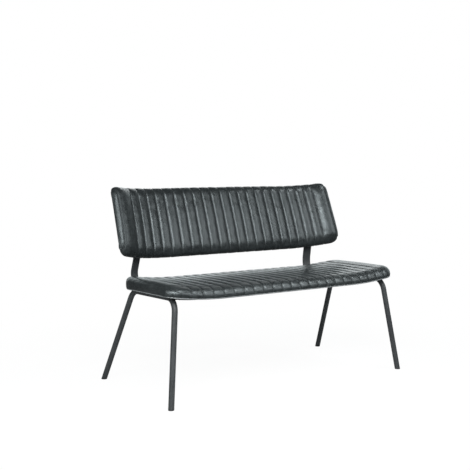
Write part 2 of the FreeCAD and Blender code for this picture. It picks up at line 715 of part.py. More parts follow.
def pad_section(low, high, back, front, crown, roll, tuck, spot):
    """Closed section: flat at its back, crowned at its front, roll and tuck round its edges."""
    edge = front - crown
    bevel = 1 - math.sqrt(0.5)
    outline = [[(low + tuck, back), (high - tuck, back)],
               [(high - tuck, back), (high - tuck * bevel, back + tuck * bevel), (high, back + tuck)],
               [(high, back + tuck), (high, edge - roll)],
               [(high, edge - roll), (high - roll * bevel, edge - roll * bevel), (high - roll, edge)],
               [(high - roll, edge), ((low + high) / 2, front), (low + roll, edge)],
               [(low + roll, edge), (low + roll * bevel, edge - roll * bevel), (low, edge - roll)],
               [(low, edge - roll), (low, back + tuck)],
               [(low, back + tuck), (low + tuck * bevel, back + tuck * bevel), (low + tuck, back)]]
    edges = []
    for points in outline:
        spots = [spot(*point) for point in points]
        curve = Part.LineSegment(*spots) if len(spots) == 2 else Part.Arc(*spots)
        edges.append(curve.toShape())
    return Part.Wire(edges)


def pad_loft(form, stations, inset, bottom, top, roll, tuck):
    """Soft layer, inset inside the outline, whose edges and ends are all rounded."""
    half = form.half - inset
    wires = []
    for run, drawn in stations:
        low, high = form.across(run, inset)
        dropped = quarter_round(run, half, roll)
        soften = 1 - END_SOFTEN * dropped / roll
        back = bottom + quarter_round(run, half, tuck)
        wires.append(pad_section(low + drawn, high - drawn, back, top - drawn - dropped,
                                 form.crown * soften, roll * soften, tuck * soften,
                                 lambda across, out: form.spot(run, across, out)))
    return Part.makeLoft(wires, True, True)


def board_loft(form, inset, bottom, top):
    """Flat-edged layer, inset inside the outline."""
    wires = []
    for run, drawn in smooth_stations(form, inset):
        low, high = form.across(run, inset)
        corners = [(low, bottom), (high, bottom), (high, top), (low, top), (low, bottom)]
        wires.append(Part.makePolygon([form.spot(run, *corner) for corner in corners]))
    return Part.makeLoft(wires, True, True)


def cover_shape(form):
    """Channelled skin: the sewn outside less a smooth hollow that is open behind."""
    outside = pad_loft(form, channel_stations(form), 0.0, form.bottom, form.top, form.roll, form.tuck)
    hollow = pad_loft(form, smooth_stations(form, QUILT), QUILT, form.bottom - form.tuck, form.top - QUILT,
                      form.roll - QUILT, size("foam_gap"))
    return outside.cut(hollow)


def foam_shape(form, bottom):
    thickness = form.top - CORE - bottom
    roll = min(form.roll - CORE, FOAM_ROLL_LIMIT * thickness)
    return pad_loft(form, smooth_stations(form, CORE), CORE, bottom, form.top - CORE, roll, size("foam_gap"))


def layer(label, shape, frame, holes=()):
    """A sub-part from a loft, less round holes given in the shared frame."""
    inside = frame.inverse()
    for point, direction, radius, length in holes:
        start = inside.multVec(point)
        shape = shape.cut(Part.makeCylinder(radius, length, start, inside.Rotation.multVec(direction)))
    obj = doc.addObject("Part::Feature", label)
    obj.Shape = shape
    finish(obj, label, frame)


END_STEPS = (0.12, 0.28, 0.45, 0.6, 0.72, 0.81, 0.88, 0.93, 0.965, 0.988, 1.0)
BORDER_SWELL = 0.45
BOW_STEPS = 6
END_SOFTEN = 0.6
ROLL_LIMIT = 0.43
TUCK_LIMIT = 0.25
FOAM_ROLL_LIMIT = 0.6
QUILT = size("channel_depth") + size("cover_wall")
CORE = QUILT + size("foam_gap")

# Seat, from the dust cover up to the channelled cover
seat = SeatForm()
up = seat_frame().Rotation.multVec(V(0, 0, 1))
liner_top = BASE_TOP + size("liner_thickness")
shell_bottom = liner_top + size("layer_gap")
shell_top = shell_bottom + size("shell_thickness")
screw_length = shell_bottom - BASE_BOTTOM + size("screw_bite")
screw_starts = [seat_frame().multVec(V(x, y, BASE_BOTTOM)) for x, y in screw_spots()]
pilots = [(start, up, size("screw_diameter") / 2 + size("thread_gap"), screw_length + size("thread_gap"))
          for start in screw_starts]
layer("seat_liner", board_loft(seat, CORE, BASE_TOP, liner_top), seat_frame(), pilots)
layer("seat_shell", board_loft(seat, CORE, shell_bottom, shell_top), seat_frame(), pilots)
layer("seat_foam", foam_shape(seat, shell_top + size("layer_gap")), seat_frame())
layer("seat_cover", cover_shape(seat), seat_frame())

# Backrest, from the rear panel forwards to the channelled cover
back = BackForm()
board_back = size("panel_thickness") + size("layer_gap")
board_front = board_back + size("board_thickness")
through = size("bracket_thickness") + size("bracket_gap")
nut_depth = through + board_front - size("nut_flange_height") - size("thread_gap")
past = size("nut_flange")
panel_holes = [(point, way, (size("bolt_diameter") + size("bolt_clearance")) / 2, through + past)
               for point, way in bracket_upper_bolts]
barrel_holes = [(point, way, size("nut_barrel") / 2 + size("thread_gap"), through + board_front + past)
                for point, way in bracket_upper_bolts]
flange_holes = [(point + way * nut_depth, way, size("nut_flange") / 2 + size("thread_gap"), past)
                for point, way in bracket_upper_bolts]
layer("back_rear_panel", board_loft(back, CORE, 0.0, size("panel_thickness")), back_frame(), panel_holes)
layer("back_board", board_loft(back, CORE, board_back, board_front), back_frame(),
      barrel_holes + flange_holes)
layer("back_foam", foam_shape(back, board_front + size("layer_gap")), back_frame())
layer("back_cover", cover_shape(back), back_frame())

# Fasteners: one of each is modelled, and a group of them shares a sub-part

def bolt(name, length):
    """Button-head bolt with a hexagon socket, its shank along +Z from the face that its head bears on."""
    below = Placement(V(0, 0, -size("bolt_head_height")), Rotation())
    head = primitive("Part::Cone", name + "_head",
                     {"Radius1": "Sizes.bolt_crown / 2", "Radius2": "Sizes.bolt_head / 2",
                      "Height": "Sizes.bolt_head_height"}, below)
    shank = primitive("Part::Cylinder", name + "_shank",
                      {"Radius": "Sizes.bolt_diameter / 2", "Height": length})
    blank = boolean("Part::Fuse", name + "_blank", head, shank)
    socket = primitive("Part::Prism", name + "_socket",
                       {"Circumradius": "Sizes.bolt_socket / sqrt(3)",
                        "Height": "Sizes.bolt_head_height / 2"}, below)
    return boolean("Part::Cut", name, blank, socket)


def tee_nut(name, board):
    """Tee nut on the same axis as its bolt, its flange bearing on z = 0 from the far side of its board."""
    inside = size("nut_flange_height") + size("thread_gap") + size("nut_clear")
    length = "Sizes.%s - Sizes.nut_flange_height - Sizes.thread_gap - Sizes.nut_clear" % board
    barrel_start = Placement(V(0, 0, inside - size(board)), Rotation())
    barrel = primitive("Part::Cylinder", name + "_barrel",
                       {"Radius": "Sizes.nut_barrel / 2", "Height": length}, barrel_start)
    flange = primitive("Part::Cylinder", name + "_flange",
                       {"Radius": "Sizes.nut_flange / 2", "Height": "Sizes.nut_flange_height"})
    blank = boolean("Part::Fuse", name + "_blank", barrel, flange)
    bore = primitive("Part::Cylinder", name + "_bore",
                     {"Radius": "Sizes.bolt_diameter / 2 + Sizes.thread_gap",
                      "Height": length + " + Sizes.nut_flange_height"}, barrel_start)
    return boolean("Part::Cut", name, blank, bore)


def wood_screw(name, length):
    """Countersunk screw along +Z, its head flush with z = 0."""
    head = primitive("Part::Cone", name + "_head",
                     {"Radius1": "Sizes.screw_head / 2", "Radius2": "Sizes.screw_diameter / 2",
                      "Height": "Sizes.screw_head / 4"})
    shank = primitive("Part::Cylinder", name + "_shank",
                      {"Radius": "Sizes.screw_diameter / 2", "Height": length})
    return boolean("Part::Fuse", name, head, shank)


def group(label, master, places):
    """Separate copies of a fastener, one at each place."""
    doc.recompute()
    copies = []
    for point, direction in places:
        copy = master.Shape.copy()
        copy.Placement = along(point, direction)
        copies.append(copy)
    obj = doc.addObject("Part::Feature", label)
    obj.Shape = Part.makeCompound(copies)
    finish(obj, label, Placement())


def moved(places, distance):
    return [(point + direction * distance, direction) for point, direction in places]


plate_grip = "Sizes.plate_thickness + Sizes.plate_gap + Sizes.base_thickness - Sizes.bolt_short"
seat_grip = "Sizes.bracket_thickness + Sizes.bracket_gap + Sizes.base_thickness - Sizes.bolt_short"
back_grip = ("Sizes.bracket_thickness + Sizes.bracket_gap + Sizes.panel_thickness + Sizes.layer_gap"
             " + Sizes.board_thickness - Sizes.bolt_short")
nut_seat = BASE_TOP - size("nut_flange_height") - size("thread_gap")
base_nut_places = [(seat_frame().multVec(V(spot.x, spot.y, nut_seat)), up) for spot in base_nuts]
screw_grip = "Sizes.base_thickness + Sizes.liner_thickness + Sizes.layer_gap + Sizes.screw_bite"

group("plate_bolts", bolt("plate_bolt", plate_grip), plate_bolt_spots)
group("bracket_seat_bolts", bolt("bracket_seat_bolt", seat_grip),
      moved(bracket_lower_bolts, -size("thread_gap")))
group("bracket_back_bolts", bolt("bracket_back_bolt", back_grip), bracket_upper_bolts)
group("base_tee_nuts", tee_nut("base_tee_nut", "base_thickness"), base_nut_places)
group("back_tee_nuts", tee_nut("back_tee_nut", "board_thickness"), moved(bracket_upper_bolts, nut_depth))
group("seat_screws", wood_screw("seat_screw", screw_grip), [(start, up) for start in screw_starts])

# Every feature and every sub-part has to be sound before anything is written

doc.recompute()
for obj in doc.Objects:
    if "Invalid" in obj.State or "Error" in obj.State:
        raise RuntimeError("%s failed: %s" % (obj.Label, obj.State))
for obj in parts:
    if obj.Shape.isNull() or not obj.Shape.isValid():
        raise RuntimeError(obj.Label + " has no sound shape")

os.makedirs("parts", exist_ok=True)
for obj in parts:
    obj.Shape.exportStep(os.path.join("parts", obj.Label + ".step"))
    box = obj.Shape.BoundBox
    print("%-24s %8.1f cm3  x %7.1f %7.1f  y %7.1f %7.1f  z %6.1f %6.1f"
          % (obj.Label, obj.Shape.Volume / 1000, box.XMin, box.XMax, box.YMin, box.YMax, box.ZMin, box.ZMax))
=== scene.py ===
import json
import math

import bpy
import numpy as np
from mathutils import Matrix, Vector


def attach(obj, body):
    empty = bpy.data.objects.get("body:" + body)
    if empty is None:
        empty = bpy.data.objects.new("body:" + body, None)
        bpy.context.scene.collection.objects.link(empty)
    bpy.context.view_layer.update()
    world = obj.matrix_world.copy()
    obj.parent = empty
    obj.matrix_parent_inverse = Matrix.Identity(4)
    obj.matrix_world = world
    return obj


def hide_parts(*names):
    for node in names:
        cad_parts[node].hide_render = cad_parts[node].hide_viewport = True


# Upholstered dining bench, dressed round its CAD frame. Metres, +Z up, the front is -Y.

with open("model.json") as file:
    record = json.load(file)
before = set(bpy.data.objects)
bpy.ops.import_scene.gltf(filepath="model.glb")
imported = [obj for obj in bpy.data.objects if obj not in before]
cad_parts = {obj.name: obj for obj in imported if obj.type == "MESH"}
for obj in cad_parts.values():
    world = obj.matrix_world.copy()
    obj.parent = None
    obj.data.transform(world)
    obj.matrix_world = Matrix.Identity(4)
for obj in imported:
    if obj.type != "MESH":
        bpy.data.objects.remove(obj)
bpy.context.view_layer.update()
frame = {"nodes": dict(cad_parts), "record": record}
nodes = frame["nodes"]
scene = bpy.context.scene
scene.view_settings.view_transform = "Standard"
print("bench: CAD frame loaded with", len(nodes), "nodes")


# shader sockets that take part in sums
class Wire:
    def __init__(self, tree, out=None):
        self.tree = tree
        self.out = out

    # any node: its settings first, then the values or links of its sockets
    def node(self, kind, settings=None, inputs=None, out=0):
        made = self.tree.nodes.new(kind)
        for key, value in (settings or {}).items():
            setattr(made, key, value)
        for key, value in (inputs or {}).items():
            if isinstance(value, Wire):
                self.tree.links.new(value.out, made.inputs[key])
            else:
                made.inputs[key].default_value = value
        return Wire(self.tree, made.outputs[out] if len(made.outputs) else None)

    # an operation that takes this socket first
    def math(self, operation, *others):
        return self.node("ShaderNodeMath", {"operation": operation}, dict(enumerate((self, *others))))

    def __add__(self, other):
        return self.math("ADD", other)

    def __sub__(self, other):
        return self.math("SUBTRACT", other)

    def __rsub__(self, other):
        return self.node("ShaderNodeMath", {"operation": "SUBTRACT"}, {0: other, 1: self})

    def __mul__(self, other):
        return self.math("MULTIPLY", other)

    def __truediv__(self, other):
        return self.math("DIVIDE", other)

    __radd__ = __add__
    __rmul__ = __mul__

    # smooth step from 0 at low to 1 at high
    def step(self, low, high):
        return self.node("ShaderNodeMapRange", {"interpolation_type": "SMOOTHSTEP"},
                         {"Value": self, "From Min": low, "From Max": high})

    def noise(self, scale, detail=2.0, rough=0.5, distort=0.0):
        return self.node("ShaderNodeTexNoise", {},
                         {"Vector": self, "Scale": scale, "Detail": detail, "Roughness": rough,
                          "Distortion": distort})

    def cells(self, scale):
        return self.node("ShaderNodeTexVoronoi", {}, {"Vector": self, "Scale": scale})

    def stretch(self, scale):
        return self.node("ShaderNodeMapping", {}, {"Vector": self, "Scale": scale})

    # colour a where this is 0 and colour b where it is 1
    def blend(self, a, b):
        a = a if isinstance(a, Wire) else (*a, 1)
        b = b if isinstance(b, Wire) else (*b, 1)
        return self.node("ShaderNodeMix", {"data_type": "RGBA"}, {0: self, 6: a, 7: b}, out=2)

    def bump(self, distance, strength, under=None):
        inputs = {"Height": self, "Distance": distance, "Strength": strength}
        if under is not None:
            inputs["Normal"] = under
        return self.node("ShaderNodeBump", {}, inputs)


def newMaterial(name):
    material = bpy.data.materials.new(name)
    material.use_nodes = True
    tree = material.node_tree
    tree.nodes.clear()
    return material, Wire(tree)


# principled surface: what varies is linked, what doesn't is set on the shader's own sockets
def surface(material, root, inputs):
    shader = root.node("ShaderNodeBsdfPrincipled", {}, inputs)
    root.node("ShaderNodeOutputMaterial", {}, {"Surface": shader})
    return material


def objectPlace(root):
    return root.node("ShaderNodeTexCoord", {}, {}, out=3)


def attributeValue(root, name):
    return root.node("ShaderNodeAttribute", {"attribute_name": name}, {}, out=2)


# noises are scale, detail, roughness and distortion
leatherFinish = {
    "deep": (0.0064, 0.0076, 0.008), "body": (0.0152, 0.0176, 0.0184), "worn": (0.04, 0.045, 0.0465),
    "roughLow": 0.25, "roughHigh": 0.36, "specular": 0.66, "sheenTint": (0.86, 0.97, 1.0),
    "clouds": (7.0, 4.0, 0.55), "mottle": (52.0, 5.0, 0.62), "specks": (240.0, 3.0, 0.6),
    "folds": (27.0, 3.0, 0.5, 0.9), "foldDepth": 0.0006,
    "wrinkles": (130.0, 4.0, 0.6, 1.4), "wrinkleDepth": 0.00022, "creaseWidth": 0.05,
    "grain": 820.0, "pores": 1700.0, "grainDepth": 0.00014,
    "thread": (0.02, 0.022, 0.023), "valleyShade": (0.0006, 0.0046), "threadWidth": (0.0003, 0.0009),
    "stitchPitch": 0.0055, "stitchDepth": 0.0005,
}


# waxed charcoal leather: mottled colour with paler worn patches, pebble grain, folds and fine wrinkles, and sewn
# seams; painted shade darkens the creases and the seam valleys
def leatherMaterial(seams):
    f = leatherFinish
    material, root = newMaterial("charcoalLeather" + ("Sewn" if seams else "Plain"))
    place = objectPlace(root)
    clouds = place.noise(*f["clouds"]).step(0.3, 0.72)
    mottle = place.noise(*f["mottle"]).step(0.32, 0.7)
    specks = place.noise(*f["specks"]).step(0.5, 0.78)
    folds = place.noise(*f["folds"])
    wrinkles = place.noise(*f["wrinkles"])
    ridge = wrinkles - 0.5
    creases = 1 - ridge.math("ABSOLUTE").step(0.0, f["creaseWidth"])
    pebbles = place.cells(f["grain"])
    wear = clouds * 0.36 + mottle * 0.44 + specks * 0.2
    # random wear tones, with painted shade darkening them along the creases
    colour = (wear * (1 - 0.4 * creases)).step(0.1, 0.95).blend(f["deep"], f["worn"])
    colour = (0.4 + 0.3 * mottle).blend(f["body"], colour)
    rough = f["roughLow"] + (f["roughHigh"] - f["roughLow"]) * (0.6 * mottle + 0.4 * clouds)
    rough = rough + 0.06 * creases - 0.05 * specks
    if seams:
        gap = attributeValue(root, "seamGap")
        stitches = attributeValue(root, "seamAlong") / f["stitchPitch"]
        valleyShade = 1 - gap.step(*f["valleyShade"])
        thread = (1 - gap.step(*f["threadWidth"])) * stitches.math("PINGPONG", 0.5).step(0.1, 0.2)
        # painted shade: the colour darkens towards the deep tone in the valleys beside each seam
        colour = (0.75 * valleyShade).blend(colour, f["deep"])
        colour = (0.7 * thread).blend(colour, f["thread"])
        rough = rough + 0.16 * valleyShade
    normal = folds.bump(f["foldDepth"], 0.7)
    normal = (wrinkles - 0.3 * creases).bump(f["wrinkleDepth"], 0.7, normal)
    normal = (pebbles + 0.5 * place.noise(f["pores"])).bump(f["grainDepth"], 0.5, normal)
    if seams:
        normal = thread.bump(f["stitchDepth"], 0.8, normal)
    return surface(material, root, {"Base Color": colour, "Roughness": rough, "Normal": normal,
                                    "Specular IOR Level": f["specular"], "Specular Tint": (*f["sheenTint"], 1)})


coatFinish = {
    "low": (0.032, 0.035, 0.037), "high": (0.045, 0.049, 0.051), "rough": 0.46, "specular": 0.4,
    "clouds": (9.0, 3.0), "dust": (1500.0, 1.0), "peel": 620.0, "peelDepth": 0.00022,
}


# satin powder coat: faint orange peel, slightly uneven gloss
def coatMaterial():
    f = coatFinish
    material, root = newMaterial("powderCoat")
    place = objectPlace(root)
    clouds = place.noise(*f["clouds"]).step(0.3, 0.7)
    peel = place.noise(f["peel"])
    dust = place.noise(*f["dust"]).step(0.62, 0.75)
    return surface(material, root, {
        "Base Color": (clouds * 0.8 + 0.2 * dust).blend(f["low"], f["high"]),
        "Roughness": f["rough"] + 0.1 * clouds + 0.06 * dust,
        "Normal": peel.bump(f["peelDepth"], 0.45),
        "Specular IOR Level": f["specular"]})


glideFinish = {
    "body": (0.014, 0.014, 0.015), "scuffed": (0.06, 0.06, 0.06), "rough": 0.55,
    "scuffs": (60, 60, 600), "scuffHeight": (0.001, 0.006), "texture": 2200.0, "textureDepth": 0.0002,
}


# moulded glide: fine eroded texture, scuffed where it meets the floor
def glideMaterial():
    f = glideFinish
    material, root = newMaterial("glidePlastic")
    place = objectPlace(root)
    height = place.node("ShaderNodeSeparateXYZ", {}, {0: place}, out=2)
    scuffs = place.stretch(f["scuffs"]).noise(1.0, 3.0).step(0.45, 0.7) * (1 - height.step(*f["scuffHeight"]))
    return surface(material, root, {
        "Base Color": (0.8 * scuffs).blend(f["body"], f["scuffed"]),
        "Roughness": f["rough"] + 0.2 * scuffs,
        "Normal": place.noise(f["texture"]).bump(f["textureDepth"], 0.5)})


# each stretch is short along X, so that the grain runs that way
plywoodFinish = {
    "bare": ((0.63, 0.47, 0.3), (0.42, 0.29, 0.17)), "stained": ((0.016, 0.016, 0.016), (0.007, 0.007, 0.007)),
    "rough": 0.5, "grain": (3.0, 70.0, 70.0), "pores": (26.0, 520.0, 520.0), "bands": (1.2, 16.0, 16.0),
    "depth": 0.00025,
}


# plywood, bare or stained black: long grain along X with pores and growth bands
def plywoodMaterial(name, tones):
    f = plywoodFinish
    material, root = newMaterial(name)
    place = objectPlace(root)
    grain = place.stretch(f["grain"]).noise(1.0, 5.0, 0.6, 0.8)
    pores = place.stretch(f["pores"]).noise(1.0).step(0.55, 0.72)
    bands = place.stretch(f["bands"]).noise(1.0, 2.0, 0.5, 2.0).step(0.35, 0.65)
    tone = grain.step(0.3, 0.7) * 0.5 + bands * 0.3 + pores * 0.2
    return surface(material, root, {
        "Base Color": tone.blend(*tones),
        "Roughness": f["rough"] + 0.12 * pores,
        "Normal": (grain - pores).bump(f["depth"], 0.5)})


liningFinish = {
    "low": (0.012, 0.012, 0.013), "high": (0.034, 0.034, 0.035), "rough": 0.82,
    "warp": (900, 120, 300), "weft": (120, 900, 300), "bond": 260.0, "depth": 0.0003,
}


# spun dust cover: crossing fibres and a dot bond
def liningMaterial():
    f = liningFinish
    material, root = newMaterial("dustCover")
    place = objectPlace(root)
    fibres = place.stretch(f["warp"]).noise(1.0, 3.0) + place.stretch(f["weft"]).noise(1.0, 3.0)
    bond = 1 - place.cells(f["bond"]).step(0.1, 0.3)
    return surface(material, root, {
        "Base Color": (fibres * 0.45).blend(f["low"], f["high"]),
        "Roughness": f["rough"] + 0.1 * bond,
        "Normal": (fibres - bond).bump(f["depth"], 0.6)})


fastenerFinish = {
    "black": {"low": (0.02, 0.02, 0.021), "high": (0.045, 0.045, 0.046), "metal": 0.3, "rough": 0.38},
    "zinc": {"low": (0.5, 0.51, 0.52), "high": (0.68, 0.69, 0.7), "metal": 1.0, "rough": 0.28},
    "patina": (180.0, 4.0), "nicks": 900.0, "nickDepth": 0.00012,
}


# fasteners: black oxide or zinc with a patchy patina and fine nicks
def fastenerMaterial(name, plating):
    f = fastenerFinish
    material, root = newMaterial(name)
    place = objectPlace(root)
    patina = place.noise(*f["patina"]).step(0.35, 0.7)
    nicks = place.noise(f["nicks"]).step(0.58, 0.72)
    return surface(material, root, {
        "Base Color": patina.blend(plating["low"], plating["high"]),
        "Roughness": plating["rough"] + 0.16 * patina,
        "Normal": nicks.bump(f["nickDepth"], 0.4),
        "Metallic": plating["metal"]})


foamFinish = {"walls": (0.86, 0.79, 0.58), "pits": (0.6, 0.53, 0.36), "rough": 0.9, "cells": 900.0, "depth": 0.0006}


# cut foam: open cells, which only show if the cover is taken off
def foamMaterial():
    f = foamFinish
    material, root = newMaterial("cutFoam")
    cells = objectPlace(root).cells(f["cells"])
    return surface(material, root, {
        "Base Color": cells.blend(f["walls"], f["pits"]),
        "Roughness": f["rough"] - 0.1 * cells,
        "Normal": cells.bump(f["depth"], 0.8)})


# painted reflection: the pale tones stand in for the floor's light on the seat's lower edge
hemReflectionFinish = {
    "low": (0.11, 0.119, 0.122), "high": (0.2, 0.212, 0.216), "rough": 0.5,
    "fibres": (420.0, 3.0, 0.6), "depth": 0.0002,
}


# hem bead along the lower edge: its pale colour is a painted reflection of the bright floor; dull and faintly
# fibrous
def hemReflectionMaterial():
    f = hemReflectionFinish
    material, root = newMaterial("leatherHemReflection")
    fibres = objectPlace(root).noise(*f["fibres"]).step(0.3, 0.7)
    return surface(material, root, {
        "Base Color": fibres.blend(f["low"], f["high"]),
        "Roughness": f["rough"] + 0.15 * fibres,
        "Normal": fibres.bump(f["depth"], 0.5)})


sewnLeather = leatherMaterial(True)
slotMaterials = {
    "frame_coat": coatMaterial(),
    "foot_plastic": glideMaterial(),
    "leather": leatherMaterial(False),
    "black_board": plywoodMaterial("stainedBoard", plywoodFinish["stained"]),
    "plywood": plywoodMaterial("shellPlywood", plywoodFinish["bare"]),
    "foam": foamMaterial(),
    "lining": liningMaterial(),
    "black_bolts": fastenerMaterial("blackBolts", fastenerFinish["black"]),
    "zinc_steel": fastenerMaterial("zincSteel", fastenerFinish["zinc"]),
}
for part in frame["record"]["subparts"]:
    mesh = nodes[part["node"]].data
    mesh.materials.clear()
    mesh.materials.append(slotMaterials[part["material_slot"]])
print("bench:", len(slotMaterials), "finishes on the CAD nodes")


# how far a rounded corner has drawn in at a run: r - sqrt(r^2 - into^2)
def quarterRound(run, half, radius):
    into = np.clip(np.abs(run) - (half - radius), 0, radius)
    return radius - np.sqrt(radius ** 2 - into ** 2)


# slow seeded waves over two coordinates: a sum of sines with random directions and phases
def waves(a, b, length, seed, count=14):
    rng = np.random.default_rng(seed)
    total = np.zeros(np.broadcast(a, b).shape)
    for k in range(count):
        turn = rng.uniform(0, 2 * math.pi)
        rate = 2 * math.pi / (length * rng.uniform(0.6, 1.7))
        total = total + np.sin(rate * (a * math.cos(turn) + b * math.sin(turn)) + rng.uniform(0, 2 * math.pi))
    return total / math.sqrt(count)


# low is the front of the seat and the bottom of the backrest; rolls are width and depth
seatPad = {
    "name": "seatCushion", "replaces": ("seat_cover", "seat_foam"),
    "half": 0.628, "low": -0.225, "high": 0.238, "bottom": -0.0109, "top": 0.0421,
    "lowCorner": 0.066, "highCorner": 0.112, "border": 0.0955, "drift": 0.0225, "crown": 0.003, "tuck": 0.007,
    "lowRoll": (0.058, 0.040), "highRoll": (0.020, 0.020), "endRoll": (0.036, 0.024),
    "endDip": 0.0, "endSeam": None, "cap": 0.003,
    "seamDepth": 0.0045, "startLift": 0.0032, "edgeFade": (0.040, 0.110), "rearRise": 0.004,
    "panelHigh": 0.2305, "panelCorner": 0.1045,
    "ceiling": 0.0100, "flat": 0.344, "sweep": 1.7, "fill": 0.75, "seed": 5,
    "place": (-0.0711, 0.4365), "lean": 1.5,
}
backPad = {
    "name": "backCushion", "replaces": ("back_cover", "back_foam"),
    "half": 0.658, "low": -0.001, "high": 0.338, "bottom": 0.0, "top": 0.049,
    "lowCorner": 0.051, "highCorner": 0.034, "border": 0.099, "drift": 0.0135, "crown": 0.003, "tuck": 0.007,
    "lowRoll": (0.058, 0.035), "highRoll": (0.052, 0.034), "endRoll": (0.034, 0.024),
    "endDip": 0.014, "endSeam": 0.935, "cap": 0.0055,
    "seamDepth": 0.0070, "startLift": 0.0054, "edgeFade": (0.015, 0.085), "rearRise": 0.0,
    "panelHigh": 0.3219, "panelCorner": 0.0431,
    "ceiling": 0.0164, "flat": 0.354, "wing": 0.477, "taper": 0.0135, "fill": 0.75, "seed": 11,
    "place": (0.2148, 0.5547), "lean": 20.0,
}
# what both cushions share: the channels, the hem, the end caps, the cloth and the dents
sewing = {
    "channels": 21, "driftFade": 10, "edgeShare": 0.15, "lip": 0.0075, "endSoften": 0.65, "least": 0.0012,
    "shares": (0.0, 0.03, 0.08, 0.15, 0.27, 0.5, 0.73, 0.85, 0.92, 0.97), "flatness": 4,
    "endSteps": (0.018, 0.055, 0.12, 0.22, 0.34, 0.47, 0.6, 0.71, 0.8,
                 0.87, 0.905, 0.92, 0.935, 0.95, 0.97, 0.985, 1.0),
    "borderSwell": 0.45, "endTuck": 0.6, "rollLength": 0.75,
    "groove": 0.0016, "grooveWidth": 0.0022, "endGroove": 0.0036, "endGrooveWidth": 0.0042, "endPinch": 0.5,
    "capAcross": 0.975, "capOut": 0.66, "capRun": 0.0016,
    "pressure": 60.0, "stiffness": 2.0, "bending": 0.1, "mass": 0.3, "quality": 5, "endRows": 3, "frames": 20,
    "dents": 0.00035, "dentLength": 0.06, "dentFade": 0.008,
    "fineShare": 0.7, "fineSqueeze": 0.6, "fineLength": 0.025,
}


# piece coordinates (run along, across, out) to the shared frame
def turned(pad, x, y, z):
    lean = math.radians(pad["lean"])
    base = pad["place"]
    return np.stack([x, y * math.cos(lean) + z * math.sin(lean) + base[0],
                     z * math.cos(lean) - y * math.sin(lean) + base[1]], -1)


# the seat rises towards its ends on a long arc: z = out + R - sqrt(R^2 - into^2)
def seatSpot(pad, run, across, out):
    into = np.clip(np.abs(run) - pad["flat"], 0, None)
    rise = pad["sweep"] - np.sqrt(pad["sweep"] ** 2 - into ** 2)
    return turned(pad, run + 0 * across, across + 0 * run, out + rise)


# the backrest is flat in the middle and each wing is an arc towards the front:
# x = flat + (R - out) sin(turn), y = -R (1 - cos(turn)) - out cos(turn), and the ends slant in at the top
def backSpot(pad, run, across, out):
    turn = np.clip(np.abs(run) - pad["flat"], 0, None) / pad["wing"]
    hand = np.sign(run)
    flat = np.minimum(np.abs(run), pad["flat"])
    slant = math.atan(pad["taper"] / pad["high"]) * run / pad["half"]
    x = hand * (flat + pad["wing"] * np.sin(turn)) - hand * np.sin(turn) * out
    y = -pad["wing"] * (1 - np.cos(turn)) - np.cos(turn) * out
    x = x - np.cos(turn) * np.sin(slant) * across
    y = y + hand * np.sin(turn) * np.sin(slant) * across
    return turned(pad, x, y, across * np.cos(slant) + 0 * out)


# runs along a cushion, with the distance of each to its nearest seam and its share of the lift
def stations(pad):
    seam = pad["half"] - pad["border"]
    pitch = 2 * seam / sewing["channels"]
    index = np.arange(sewing["channels"])[:, None] + np.array(sewing["shares"])
    inner = np.append(-seam + index.ravel() * pitch, seam)
    share = np.append(np.tile(sewing["shares"], sewing["channels"]), 0.0)
    outer = seam + np.array(sewing["endSteps"]) * pad["border"]
    run = np.concatenate([-outer[::-1], inner, outer])
    # the sewing sits a little right of the middle, and both ends stay where they are
    run = run + pad["drift"] * (1 - np.abs(run / pad["half"]) ** sewing["driftFade"])
    endGap = outer - seam
    if pad["endSeam"]:
        endGap = np.minimum(endGap, sewing["endPinch"] * np.abs(endGap - pad["endSeam"] * pad["border"]))
    gap = np.concatenate([endGap[::-1], np.minimum(share, 1 - share) * pitch, endGap])
    swell = 1 - np.clip(1 - np.array(sewing["endSteps"]) / sewing["borderSwell"], 0, 1) ** 2
    lift = np.concatenate([swell[::-1], 1 - (2 * share - 1) ** sewing["flatness"], swell])
    return run[:, None], gap[:, None], lift[:, None]


ringCounts = {"tuck": 5, "lip": 2, "wall": 2, "ceiling": 10, "side": 3, "roll": 10, "top": 36}


# a straight part of a section from one point to another, its last point left to the next part
def straight(a0, o0, a1, o1, count):
    t = np.arange(count) / count
    return a0 + (a1 - a0) * t, o0 + (o1 - o0) * t


# a part of an ellipse about a centre: (ca + wide cos t, co + deep sin t)
def arc(ca, co, wide, deep, start, end, count):
    t = np.radians(start) + np.radians(end - start) * np.arange(count) / count
    return ca + wide * np.cos(t), co + deep * np.sin(t)


